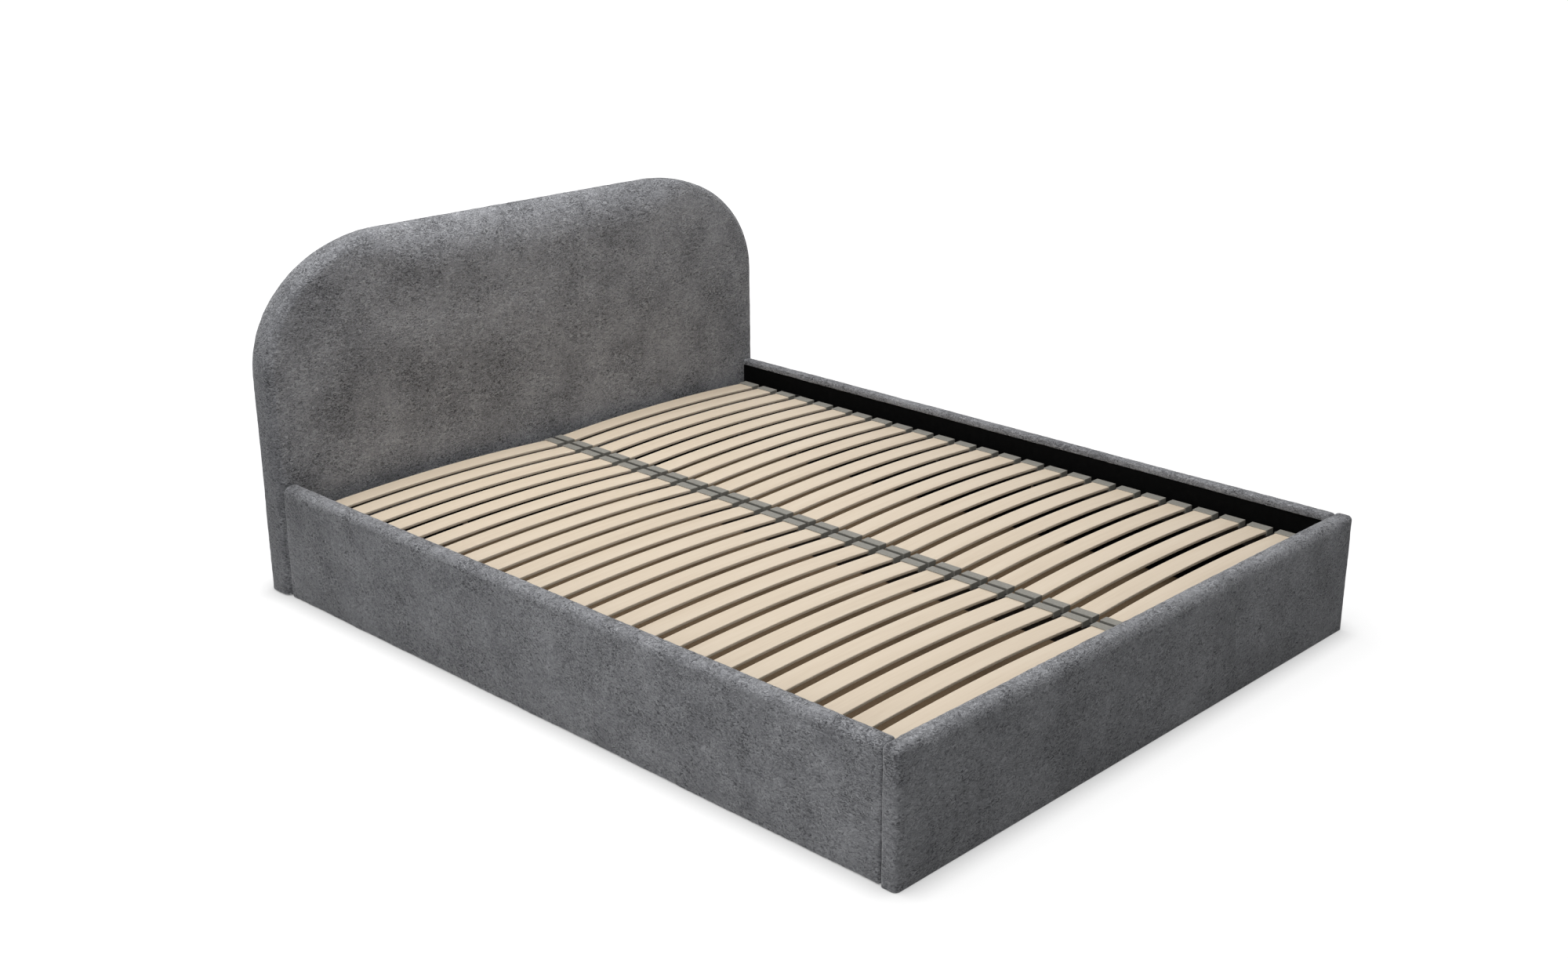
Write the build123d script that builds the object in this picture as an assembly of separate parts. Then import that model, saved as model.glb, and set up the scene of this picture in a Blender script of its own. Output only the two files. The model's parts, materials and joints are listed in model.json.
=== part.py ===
from build123d import *
import math
import os

# An upholstered panel bed with a slatted base that lifts at its foot end over a storage box.
# Millimetres. X runs across the bed, +Y points to the headboard, +Z is up, and the floor is Z = 0.

# Mattress and the room left round it
mattress_width = 1600.0
mattress_length = 2000.0
mattress_side_play = 2.0
mattress_end_play = 4.0

# Upholstered panels round the box
rail_height = 300.0
rail_board_thick = 22.0
rail_pad = 16.0
foot_board_thick = 22.0
foot_pad = 20.0
foot_end_pad = 12.0
top_pad = 8.0
panel_proud = 3.0
lip_thick = 2.0
lip_depth = 17.0
foot_lip_drop = 4.0
outer_top_round = 14.0
inner_top_round = 6.0
bottom_round = 8.0
foot_corner_round = 15.0

# Headboard, from the front: cover, foam, face board, timber frame, cover
head_height = 899.0
head_proud = 8.5
head_thick = 100.0
head_corner_width = 386.0
head_corner_height = 320.0
head_front_round = 28.0
head_rear_round = 32.0
cover_thick = 3.0
head_foam_thick = 35.0
head_edge_pad = 30.0
face_board_thick = 6.0
frame_member = 60.0
upright_spacing = 600.0
back_margin = 45.0

# Bottom of the box and what it stands on
glide_height = 4.0
glide_radius = 10.0
glide_end_inset = 60.0
head_glide_spacing = 700.0
bottom_batten_height = 11.0
bottom_batten_width = 18.0
centre_batten_width = 40.0
bottom_board_thick = 5.0
board_gap = 0.6
head_wall_thick = 16.0
head_wall_height = 130.0

# Slatted base: a frame of steel tubes
base_side_gap = 34.0
base_foot_gap = 12.0
base_head_gap = 25.0
base_tube_top = 230.0
side_tube_width = 30.0
tube_height = 40.0
tube_wall = 2.0
centre_beam_width = 40.0
centre_beam_height = 60.0
plug_flange = 3.0
plug_depth = 14.0
plug_gap = 0.2

# Slats and their holders
slat_count = 25
slat_width = 53.0
slat_thick = 8.0
slat_crown = 11.5
slat_edge_round = 2.0
slat_first_margin = 68.0
slat_last_margin = 48.0
slat_flat_extra = 2.0
holder_width = 58.0
holder_floor = 3.0
holder_roof = 3.5
holder_round = 1.5
outer_holder_length = 28.0
outer_slat_grip = 18.0
centre_holder_length = 25.0
centre_slat_grip = 15.0
holder_slot = 11.0
slat_end_room = 2.0
slat_play = 0.3
peg_radius = 4.0
peg_gap = 0.1

# Ledges that the closed base lies on
ledge_height = 25.0
side_ledge_width = 52.0
side_ledge_length = 1350.0
foot_ledge_width = 40.0
ledge_screw_radius = 2.5
ledge_screw_head_radius = 5.0
ledge_screw_head_height = 3.0
ledge_screw_bite = 15.0
ledge_screws_each = 4

# Lift: pivots beside the tubes, with a gas strut each side
pivot_from_head_end = 163.0
pivot_radius = 5.0
pivot_gap = 0.05
pivot_shoulder_radius = 9.0
nut_flats = 17.0
nut_height = 8.0
side_play = 0.5
hinge_plate_thick = 4.0
hinge_plate_margin = 22.0
lift_arm_thick = 4.0
lift_arm_margin = 18.0
arm_bolt_radius = 4.0
arm_bolt_flats = 13.0
arm_bolt_head = 5.0
bolt_gap = 0.2
strut_arm = 160.0
strut_rest_angle = 75.0
strut_radius = 9.0
strut_wall = 1.5
strut_base_wall = 6.0
strut_gland = 10.0
strut_cylinder_length = 142.0
strut_rod_radius = 4.0
strut_rod_reach = 175.0
strut_piston_length = 10.0
strut_slide_gap = 0.1
eye_radius = 9.0
eye_width = 12.0
eye_neck = 7.0
stud_radius = 4.0
stud_cap_radius = 6.5
stud_cap_thick = 2.0
stud_cap_gap = 0.3

# Fasteners that hold the box together
bracket_leg = 60.0
bracket_thick = 3.0
bracket_height = 90.0
bracket_bottom = 40.0
screw_radius = 3.0
screw_head_radius = 6.0
screw_head_height = 3.0
screw_bite = 14.0
head_bolt_radius = 4.0
head_bolt_flats = 13.0
head_bolt_head = 5.5
head_bolt_low = 60.0
head_bolt_rise = 60.0
head_bolt_bite = 30.0

# Places worked out from the sizes above
inner_length = mattress_length + 2 * mattress_end_play
overall_length = foot_pad + foot_board_thick + inner_length + head_thick
foot_out_y = -overall_length / 2
foot_in_y = foot_out_y + foot_pad + foot_board_thick
head_in_y = foot_in_y + inner_length
head_out_y = overall_length / 2
rail_in_x = mattress_width / 2 + mattress_side_play
rail_board_x = rail_in_x + rail_board_thick
rail_out_x = rail_board_x + rail_pad
panel_half = rail_out_x + panel_proud
head_half = rail_out_x + head_proud
board_top = rail_height - top_pad
head_wall_y = head_in_y - head_wall_thick
batten_top = glide_height + bottom_batten_height
bottom_top = batten_top + bottom_board_thick

base_foot_y = foot_in_y + base_foot_gap
base_head_y = head_in_y - base_head_gap
tube_bottom = base_tube_top - tube_height
tube_out_x = rail_in_x - base_side_gap
tube_in_x = tube_out_x - side_tube_width
foot_tube_y = base_foot_y + side_tube_width
head_tube_y = base_head_y - side_tube_width
slat_pitch = (base_head_y - base_foot_y - slat_first_margin - slat_last_margin) / (slat_count - 1)
slat_places = [base_foot_y + slat_first_margin + i * slat_pitch for i in range(slat_count)]
slat_bottom = base_tube_top + holder_floor
holder_height = holder_floor + slat_thick + holder_roof
outer_holder_in_x = tube_out_x - outer_holder_length
centre_holder_in_x = holder_slot / 2
centre_holder_out_x = centre_holder_in_x + centre_holder_length
slat_in_x = centre_holder_out_x - centre_slat_grip
slat_out_x = outer_holder_in_x + outer_slat_grip
outer_peg_x = (outer_holder_in_x + tube_out_x) / 2
centre_peg_x = (centre_holder_in_x + centre_beam_width / 2) / 2

pivot_y = base_head_y - pivot_from_head_end
pivot_z = base_tube_top - tube_height / 2
arm_face_x = tube_out_x + lift_arm_thick
plate_face_x = rail_in_x - hinge_plate_thick
strut_x = (arm_face_x + plate_face_x) / 2
upper_y = pivot_y - strut_arm
upper_z = pivot_z
lower_y = pivot_y - strut_arm * math.cos(math.radians(strut_rest_angle))
lower_z = pivot_z - strut_arm * math.sin(math.radians(strut_rest_angle))
strut_closed = math.hypot(upper_y - lower_y, upper_z - lower_z)
arm_bolt_places = [upper_y + strut_arm / 3, upper_y + 2 * strut_arm / 3]


def block(x0, x1, y0, y1, z0, z1):
    """A box between two corners."""
    return Pos((x0 + x1) / 2, (y0 + y1) / 2, (z0 + z1) / 2) * Box(x1 - x0, y1 - y0, z1 - z0)


def round_x(radius, x0, x1, y, z):
    """A round bar along X."""
    return Pos((x0 + x1) / 2, y, z) * Rot(0, 90, 0) * Cylinder(radius, abs(x1 - x0))


def round_y(radius, x, y0, y1, z):
    """A round bar along Y."""
    return Pos(x, (y0 + y1) / 2, z) * Rot(90, 0, 0) * Cylinder(radius, abs(y1 - y0))


def round_z(radius, x, y, z0, z1):
    """A round bar along Z."""
    return Pos(x, y, (z0 + z1) / 2) * Cylinder(radius, abs(z1 - z0))


def hexagon_x(flats, x0, x1, y, z):
    """A hexagon bar along X, such as a bolt's head or a nut."""
    bar = extrude(RegularPolygon(flats / math.sqrt(3), 6), abs(x1 - x0))
    return Pos(min(x0, x1), y, z) * Rot(0, 90, 0) * bar


def hexagon_y(flats, x, y0, y1, z):
    """A hexagon bar along Y."""
    bar = extrude(RegularPolygon(flats / math.sqrt(3), 6), abs(y1 - y0))
    return Pos(x, max(y0, y1), z) * Rot(90, 0, 0) * bar


def opposite(solid):
    """The same piece on the other side of the bed."""
    return mirror(solid, about=Plane.YZ)


def save(name, pieces):
    """Write one node: a single solid, or a group of separate solids."""
    shape = Compound(children=list(pieces)) if isinstance(pieces, (list, tuple)) else pieces
    export_step(shape, os.path.join("parts", name + ".step"))


def save_pair(name, solid):
    """Write a right-hand piece and its left-hand opposite."""
    save("right_" + name, solid)
    save("left_" + name, opposite(solid))


# Headboard

def head_slab(inset, front_y, rear_y):
    """A slab of the headboard's outline, drawn in by inset. Its two upper corners are quarter ellipses."""
    half = head_half - inset
    top = head_height - inset
    wide = head_corner_width - inset
    tall = head_corner_height - inset
    shoulder = top - tall
    edges = [
        Line((-half, shoulder), (-half, glide_height)),
        Line((-half, glide_height), (half, glide_height)),
        Line((half, glide_height), (half, shoulder)),
        EllipticalCenterArc((half - wide, shoulder), wide, tall, start_angle=0, arc_size=90),
        Line((half - wide, top), (wide - half, top)),
        EllipticalCenterArc((wide - half, shoulder), wide, tall, start_angle=90, arc_size=90),
    ]
    outline = make_face([Plane.XZ * edge for edge in edges])
    return Pos(0, rear_y, 0) * extrude(outline, rear_y - front_y, dir=(0, -1, 0))


def rounded_head_slab(inset, front_y, rear_y, front_round, rear_round):
    """The same slab with its front and rear edges rounded, all but the bottom ones."""
    slab = head_slab(inset, front_y, rear_y)
    for index, radius in ((0, front_round), (-1, rear_round)):
        rim = slab.faces().sort_by(Axis.Y)[index].edges()
        bottom = rim.sort_by(Axis.Z)[0]
        slab = fillet([edge for edge in rim if edge.center().Z > bottom.center().Z + 1], radius)
    return slab


foam_front_y = head_in_y + cover_thick
face_board_y = foam_front_y + head_foam_thick
frame_front_y = face_board_y + face_board_thick
frame_rear_y = head_out_y - cover_thick
frame_inset = cover_thick + head_edge_pad
head_bolt_xs = (-upright_spacing / 2, upright_spacing / 2)
head_bolt_zs = (head_bolt_low, head_bolt_low + head_bolt_rise)
head_bolt_end_y = frame_front_y + head_bolt_bite


def head_bolt_holes(radius):
    """Round bars on the four bolts that hold the headboard to the box."""
    bars = []
    for x in head_bolt_xs:
        for z in head_bolt_zs:
            bars.append(round_y(radius, x, head_wall_y, head_bolt_end_y, z))
    return bars


def headboard_frame():
    """A timber ring with two uprights, which the bolts go into."""
    ring = head_slab(frame_inset, frame_front_y, frame_rear_y)
    window = head_slab(frame_inset + frame_member, frame_front_y, frame_rear_y)
    sill = glide_height + frame_member
    window = window & block(-head_half, head_half, frame_front_y, frame_rear_y, sill, head_height)
    frame = ring - window
    for x in head_bolt_xs:
        left = x - frame_member / 2
        top = head_height - frame_inset - frame_member
        frame += block(left, left + frame_member, frame_front_y, frame_rear_y, sill, top)
    return frame


outer_slab = rounded_head_slab(0, head_in_y, head_out_y, head_front_round, head_rear_round)
inner_slab = rounded_head_slab(
    cover_thick, foam_front_y, frame_rear_y,
    head_front_round - cover_thick, head_rear_round - cover_thick,
)
back_window = head_slab(back_margin, frame_rear_y, head_out_y)
frame_space = head_slab(frame_inset, face_board_y, frame_rear_y)
bolt_room = head_bolt_holes(head_bolt_radius + bolt_gap)
headboard_cover = outer_slab - inner_slab - back_window - bolt_room
headboard_foam = inner_slab - frame_space - bolt_room
headboard_face_board = head_slab(frame_inset, face_board_y, frame_front_y) - bolt_room

# Rails and foot panel

def rail_cover():
    """Padded cloth over the outside and top of a rail, turned in over its inner edge."""
    lip_x = rail_in_x - lip_thick
    lip_z = rail_height - lip_depth
    section = Polyline(
        (rail_out_x, glide_height),
        (rail_out_x, rail_height),
        (lip_x, rail_height),
        (lip_x, lip_z),
        (rail_in_x, lip_z),
        (rail_in_x, board_top),
        (rail_board_x, board_top),
        (rail_board_x, glide_height),
        close=True,
    )
    face = make_face(Plane.XZ * section)
    cover = Pos(0, head_in_y, 0) * extrude(face, inner_length, dir=(0, -1, 0))
    along = cover.edges().filter_by(Axis.Y)
    cover = fillet(along.sort_by(lambda e: e.center().X + e.center().Z)[-1], outer_top_round)
    along = cover.edges().filter_by(Axis.Y)
    cover = fillet(along.sort_by(lambda e: e.center().Z - e.center().X)[-1], inner_top_round)
    along = cover.edges().filter_by(Axis.Y)
    return fillet(along.sort_by(lambda e: e.center().X - e.center().Z)[-1], bottom_round)


def foot_cover():
    """Padded cloth over the front, ends and top of the foot panel, turned in over its inner edge."""
    pad = block(-panel_half, panel_half, foot_out_y, foot_in_y, glide_height, rail_height)
    corners = pad.edges().filter_by(Axis.Z).group_by(Axis.Y)[0]
    pad = fillet(corners, foot_corner_round)
    front_top = pad.faces().sort_by(Axis.Z)[-1].edges().sort_by(Axis.Y)[:-1]
    pad = fillet([edge for edge in front_top if edge.center().Y < foot_in_y - 1], outer_top_round)
    pocket_half = panel_half - foot_end_pad
    pad -= block(-pocket_half, pocket_half, foot_in_y - foot_board_thick, foot_in_y, glide_height, board_top)
    lip_half = rail_in_x - lip_thick - board_gap
    lip_top = rail_height - foot_lip_drop
    lip_low = rail_height - lip_depth
    return pad + block(-lip_half, lip_half, foot_in_y, foot_in_y + lip_thick, lip_low, lip_top)


rail_board = block(rail_in_x, rail_board_x, foot_in_y, head_in_y, glide_height, board_top)
foot_board = block(
    foot_end_pad - panel_half, panel_half - foot_end_pad,
    foot_in_y - foot_board_thick, foot_in_y, glide_height, board_top,
)
head_wall = block(-rail_in_x, rail_in_x, head_wall_y, head_in_y, bottom_top, bottom_top + head_wall_height)
head_wall -= bolt_room

headboard_bolts = []
for bar in head_bolt_holes(head_bolt_radius):
    centre = bar.center()
    head = hexagon_y(head_bolt_flats, centre.X, head_wall_y - head_bolt_head, head_wall_y, centre.Z)
    headboard_bolts.append(bar + head)

# Bottom of the box

right_batten = block(
    rail_in_x - bottom_batten_width, rail_in_x, foot_in_y, head_wall_y, glide_height, batten_top,
)
centre_batten = block(
    -centre_batten_width / 2, centre_batten_width / 2, foot_in_y, head_wall_y, glide_height, batten_top,
)
right_bottom_board = block(
    board_gap / 2, rail_in_x - board_gap, foot_in_y + board_gap, head_wall_y - board_gap,
    batten_top, bottom_top,
)


def floor_glides():
    """Small round feet under the rails, the foot panel, the headboard and the middle batten."""
    rail_x = (rail_in_x + rail_board_x) / 2
    foot_y = foot_in_y - foot_board_thick / 2
    head_y = (frame_front_y + frame_rear_y) / 2
    middle_y = (foot_in_y + head_wall_y) / 2
    ends = (foot_in_y + glide_end_inset, middle_y, head_wall_y - glide_end_inset)
    places = [(side * rail_x, y) for side in (-1, 1) for y in ends]
    places += [(0, y) for y in ends]
    places += [(side * head_glide_spacing, foot_y) for side in (-1, 0, 1)]
    places += [(side * head_glide_spacing, head_y) for side in (-1, 0, 1)]
    return [round_z(glide_radius, x, y, 0, glide_height) for x, y in places]


# Corner brackets and the screws that hold them

def corner_bracket(wall_y, toward):
    """A steel angle in an inner corner: one leg on the rail, one on the end board."""
    top = bracket_bottom + bracket_height
    y_far = wall_y + toward * bracket_leg
    y_near = wall_y + toward * bracket_thick
    rail_leg = block(
        rail_in_x - bracket_thick, rail_in_x, min(wall_y, y_far), max(wall_y, y_far), bracket_bottom, top,
    )
    end_leg = block(
        rail_in_x - bracket_leg, rail_in_x, min(wall_y, y_near), max(wall_y, y_near), bracket_bottom, top,
    )
    return rail_leg + end_leg


screw_heights = (bracket_bottom + bracket_height / 4, bracket_bottom + 3 * bracket_height / 4)
rail_screws = []
foot_screws = []
wall_screws = []
for z in screw_heights:
    for wall_y, toward in ((foot_in_y, 1), (head_wall_y, -1)):
        y = wall_y + toward * bracket_leg * 2 / 3
        rail_screws.append((rail_in_x - bracket_thick, y, z))
    x = rail_in_x - bracket_leg * 2 / 3
    foot_screws.append((x, foot_in_y + bracket_thick, z))
    wall_screws.append((x, head_wall_y - bracket_thick, z))


def screw_x(place, gap, with_head):
    """A screw that goes outwards into a rail from its seat, or the room for one."""
    x, y, z = place
    body = round_x(screw_radius + gap, x, rail_in_x + screw_bite + gap, y, z)
    if with_head:
        body += round_x(screw_head_radius, x - screw_head_height, x, y, z)
    return body


def screw_y(place, toward, gap, with_head):
    """A screw that goes into an end board from its seat, or the room for one."""
    x, y, z = place
    wall_y = foot_in_y if toward < 0 else head_wall_y
    body = round_y(screw_radius + gap, x, y, wall_y + toward * (screw_bite + gap), z)
    if with_head:
        body += round_y(screw_head_radius, x, y, y - toward * screw_head_height, z)
    return body


corner_screws = [screw_x(place, 0, True) for place in rail_screws]
corner_screws += [screw_y(place, -1, 0, True) for place in foot_screws]
corner_screws += [screw_y(place, 1, 0, True) for place in wall_screws]
rail_screw_room = [screw_x(place, bolt_gap, False) for place in rail_screws]
foot_screw_room = [screw_y(place, -1, bolt_gap, False) for place in foot_screws]
wall_screw_room = [screw_y(place, 1, bolt_gap, False) for place in wall_screws]
front_bracket = corner_bracket(foot_in_y, 1) - rail_screw_room - foot_screw_room
rear_bracket = corner_bracket(head_wall_y, -1) - rail_screw_room - wall_screw_room

# Ledges under the closed base

ledge_bottom = tube_bottom - ledge_height
ledge_middle = tube_bottom - ledge_height / 2
side_ledge_end_y = foot_in_y + side_ledge_length
side_ledge = block(
    rail_in_x - side_ledge_width, rail_in_x, foot_in_y, side_ledge_end_y, ledge_bottom, tube_bottom,
)
foot_ledge_half = rail_in_x - side_ledge_width
foot_ledge = block(
    -foot_ledge_half, foot_ledge_half, foot_in_y, foot_in_y + foot_ledge_width, ledge_bottom, tube_bottom,
)
ledge_step = side_ledge_length / ledge_screws_each
foot_ledge_step = 2 * foot_ledge_half / ledge_screws_each


def side_ledge_screw(y, gap, with_head):
    """A wood screw through the side ledge into the rail, or the room for one."""
    seat = rail_in_x - side_ledge_width
    body = round_x(ledge_screw_radius + gap, seat, rail_in_x + ledge_screw_bite + gap, y, ledge_middle)
    if with_head:
        body += round_x(ledge_screw_head_radius, seat - ledge_screw_head_height, seat, y, ledge_middle)
    return body


def foot_ledge_screw(x, gap, with_head):
    """A wood screw through the foot ledge into the foot board, or the room for one."""
    seat = foot_in_y + foot_ledge_width
    body = round_y(ledge_screw_radius + gap, x, seat, foot_in_y - ledge_screw_bite - gap, ledge_middle)
    if with_head:
        body += round_y(ledge_screw_head_radius, x, seat, seat + ledge_screw_head_height, ledge_middle)
    return body


side_ledge_ys = [foot_in_y + (i + 0.5) * ledge_step for i in range(ledge_screws_each)]
foot_ledge_xs = [(i + 0.5) * foot_ledge_step - foot_ledge_half for i in range(ledge_screws_each)]
ledge_screws = [side_ledge_screw(y, 0, True) for y in side_ledge_ys]
ledge_screws += [opposite(screw) for screw in ledge_screws]
ledge_screws += [foot_ledge_screw(x, 0, True) for x in foot_ledge_xs]
side_ledge_room = [side_ledge_screw(y, bolt_gap, False) for y in side_ledge_ys]
foot_ledge_room = [foot_ledge_screw(x, bolt_gap, False) for x in foot_ledge_xs]

# Slatted base: tubes

def tube(x0, x1, y0, y1, z0, z1, axis):
    """A rectangular steel tube, open at both ends along its axis."""
    shell = tube_wall
    if axis == Axis.Y:
        return block(x0, x1, y0, y1, z0, z1) - block(
            x0 + shell, x1 - shell, y0, y1, z0 + shell, z1 - shell,
        )
    return block(x0, x1, y0, y1, z0, z1) - block(
        x0, x1, y0 + shell, y1 - shell, z0 + shell, z1 - shell,
    )


def peg_holes(x):
    """Round bars through a tube's top wall, one for each holder's peg."""
    low = base_tube_top - tube_wall
    return [round_z(peg_radius + peg_gap, x, y, low, base_tube_top) for y in slat_places]


def side_tube():
    """A side tube with holes for the holders' pegs, the pivot and the lift arm's bolts."""
    body = tube(tube_in_x, tube_out_x, base_foot_y, base_head_y, tube_bottom, base_tube_top, Axis.Y)
    body -= peg_holes(outer_peg_x)
    body -= round_x(pivot_radius + pivot_gap, tube_in_x, tube_out_x, pivot_y, pivot_z)
    for y in arm_bolt_places:
        body -= round_x(arm_bolt_radius + bolt_gap, tube_in_x, tube_out_x, y, pivot_z)
    return body


foot_cross_tube = tube(-tube_in_x, tube_in_x, base_foot_y, foot_tube_y, tube_bottom, base_tube_top, Axis.X)
head_cross_tube = tube(-tube_in_x, tube_in_x, head_tube_y, base_head_y, tube_bottom, base_tube_top, Axis.X)
centre_beam = tube(
    -centre_beam_width / 2, centre_beam_width / 2, foot_tube_y, head_tube_y,
    base_tube_top - centre_beam_height, base_tube_top, Axis.Y,
)
centre_beam -= peg_holes(centre_peg_x)
centre_beam -= peg_holes(-centre_peg_x)


def end_plug(end_y, toward):
    """A plastic plug in a side tube's open end; toward points out of the tube."""
    inset = tube_wall + plug_gap
    flange_y = end_y + toward * plug_flange
    deep_y = end_y - toward * plug_depth
    flange = block(
        tube_in_x, tube_out_x, min(end_y, flange_y), max(end_y, flange_y), tube_bottom, base_tube_top,
    )
    stem = block(
        tube_in_x + inset, tube_out_x - inset, min(end_y, deep_y), max(end_y, deep_y),
        tube_bottom + inset, base_tube_top - inset,
    )
    return flange + stem


# Slats and holders

def slat():
    """One sprung slat of the right-hand bank: flat at its gripped ends, bowed up between them."""
    flat_in = slat_in_x + centre_slat_grip + slat_flat_extra
    flat_out = slat_out_x - outer_slat_grip - slat_flat_extra
    middle = (flat_in + flat_out) / 2
    low = slat_bottom
    high = slat_bottom + slat_thick
    outline = [
        Line((slat_in_x, low), (flat_in, low)),
        ThreePointArc((flat_in, low), (middle, low + slat_crown), (flat_out, low)),
        Line((flat_out, low), (slat_out_x, low)),
        Line((slat_out_x, low), (slat_out_x, high)),
        Line((slat_out_x, high), (flat_out, high)),
        ThreePointArc((flat_out, high), (middle, high + slat_crown), (flat_in, high)),
        Line((flat_in, high), (slat_in_x, high)),
        Line((slat_in_x, high), (slat_in_x, low)),
    ]
    side = make_face([Plane.XZ * edge for edge in outline])
    strip = Pos(0, slat_width / 2, 0) * extrude(side, slat_width, dir=(0, -1, 0))
    long_edges = [edge for edge in strip.edges() if abs(edge.center().Y) > slat_width / 2 - 0.01]
    long_edges = [edge for edge in long_edges if edge.length > slat_thick * 1.01]
    return fillet(long_edges, slat_edge_round)


def holder(x_in, x_out, pocket_from, pocket_to, peg_x):
    """A plastic cap with a pocket for a slat's end and a peg in the tube's top wall."""
    top = base_tube_top + holder_height
    body = block(x_in, x_out, -holder_width / 2, holder_width / 2, base_tube_top, top)
    body = fillet(body.faces().sort_by(Axis.Z)[-1].edges(), holder_round)
    pocket_half = slat_width / 2 + slat_play
    body -= block(
        pocket_from, pocket_to, -pocket_half, pocket_half,
        slat_bottom - slat_play, slat_bottom + slat_thick + slat_play,
    )
    return body + round_z(peg_radius, peg_x, 0, base_tube_top - tube_wall, base_tube_top)


def along_bed(piece):
    """A copy of the piece at each slat's place."""
    return [Pos(0, y, 0) * piece for y in slat_places]


one_slat = slat()
outer_holder = holder(
    outer_holder_in_x, tube_out_x, outer_holder_in_x, slat_out_x + slat_end_room, outer_peg_x,
)
centre_holder = holder(
    centre_holder_in_x, centre_holder_out_x, slat_in_x - slat_end_room, centre_holder_out_x, centre_peg_x,
)

# Lift: hinge plates, arms, pivots and gas struts

plate_foot_y = lower_y - hinge_plate_margin
plate_head_y = pivot_y + hinge_plate_margin
plate_low_z = lower_z - hinge_plate_margin
plate_high_z = pivot_z + hinge_plate_margin
plate_inset = hinge_plate_margin / 2
plate_screws = [
    (plate_face_x, y, z)
    for y in (plate_foot_y + plate_inset, plate_head_y - plate_inset)
    for z in (plate_low_z + plate_inset, plate_high_z - plate_inset)
]
plate_screw_room = [screw_x(place, bolt_gap, False) for place in plate_screws]
hinge_plate_screws = [screw_x(place, 0, True) for place in plate_screws]

hinge_plate = block(plate_face_x, rail_in_x, plate_foot_y, plate_head_y, plate_low_z, plate_high_z)
hinge_plate -= round_x(pivot_radius, plate_face_x, rail_in_x, pivot_y, pivot_z)
hinge_plate -= round_x(stud_radius, plate_face_x, rail_in_x, lower_y, lower_z)
hinge_plate -= plate_screw_room

pivot_end_x = tube_in_x - side_play - nut_height
pivot_bolt = round_x(pivot_radius, pivot_end_x, rail_in_x, pivot_y, pivot_z)
pivot_bolt += round_x(pivot_shoulder_radius, arm_face_x + side_play, plate_face_x, pivot_y, pivot_z)
pivot_nut = hexagon_x(nut_flats, pivot_end_x, tube_in_x - side_play, pivot_y, pivot_z)
pivot_nut -= round_x(pivot_radius, pivot_end_x, tube_in_x, pivot_y, pivot_z)

lift_arm = block(
    tube_out_x, arm_face_x, upper_y - lift_arm_margin, pivot_y + lift_arm_margin,
    pivot_z - lift_arm_margin, pivot_z + lift_arm_margin,
)
lift_arm = fillet(lift_arm.edges().filter_by(Axis.X), lift_arm_margin * 0.9)
lift_arm -= round_x(pivot_radius + pivot_gap, tube_out_x, arm_face_x, pivot_y, pivot_z)
lift_arm -= round_x(stud_radius, tube_out_x, arm_face_x, upper_y, upper_z)
for y in arm_bolt_places:
    lift_arm -= round_x(arm_bolt_radius + bolt_gap, tube_out_x, arm_face_x, y, pivot_z)


def arm_bolt(y):
    """A bolt through the lift arm and the side tube."""
    end = tube_in_x - nut_height
    shank = round_x(arm_bolt_radius, end, arm_face_x, y, pivot_z)
    return shank + hexagon_x(arm_bolt_flats, arm_face_x, arm_face_x + arm_bolt_head, y, pivot_z)


def arm_nut(y):
    """The nut on that bolt, against the inside of the tube."""
    end = tube_in_x - nut_height
    nut = hexagon_x(arm_bolt_flats, end, tube_in_x, y, pivot_z)
    return nut - round_x(arm_bolt_radius, end, tube_in_x, y, pivot_z)


eye_in_x = strut_x - eye_width / 2
eye_out_x = strut_x + eye_width / 2
upper_cap_x = eye_out_x + stud_cap_gap
lower_cap_x = eye_in_x - stud_cap_gap
upper_stud = round_x(stud_radius, tube_out_x, upper_cap_x + stud_cap_thick, upper_y, upper_z)
upper_stud += round_x(stud_cap_radius, upper_cap_x, upper_cap_x + stud_cap_thick, upper_y, upper_z)
upper_stud += round_x(stud_cap_radius, arm_face_x, eye_in_x - stud_cap_gap, upper_y, upper_z)
lower_stud = round_x(stud_radius, lower_cap_x - stud_cap_thick, rail_in_x, lower_y, lower_z)
lower_stud += round_x(stud_cap_radius, lower_cap_x - stud_cap_thick, lower_cap_x, lower_y, lower_z)
lower_stud += round_x(stud_cap_radius, eye_out_x + stud_cap_gap, plate_face_x, lower_y, lower_z)

strut_line = Plane(
    origin=(strut_x, lower_y, lower_z), x_dir=(1, 0, 0), z_dir=(0, upper_y - lower_y, upper_z - lower_z),
)
bore_radius = strut_radius - strut_wall
cylinder_end = eye_neck + strut_cylinder_length


def strut_eye(along):
    """A ring across the strut at one of its ends, before its hole is cut."""
    return Pos(0, 0, along) * Rot(0, 90, 0) * Cylinder(eye_radius, eye_width)


def eye_hole(along):
    """The room for a stud through a strut's eye."""
    return Pos(0, 0, along) * Rot(0, 90, 0) * Cylinder(stud_radius + pivot_gap, eye_width * 2)


def strut_cylinder():
    """The gas strut's body, with its lower eye, its bore and its gland."""
    body = round_z(strut_radius, 0, 0, eye_neck, cylinder_end) + strut_eye(0)
    body -= eye_hole(0)
    gland_z = cylinder_end - strut_gland
    body -= round_z(bore_radius, 0, 0, eye_neck + strut_base_wall, gland_z)
    body -= round_z(strut_rod_radius + strut_slide_gap, 0, 0, gland_z, cylinder_end)
    return strut_line.location * body


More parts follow.
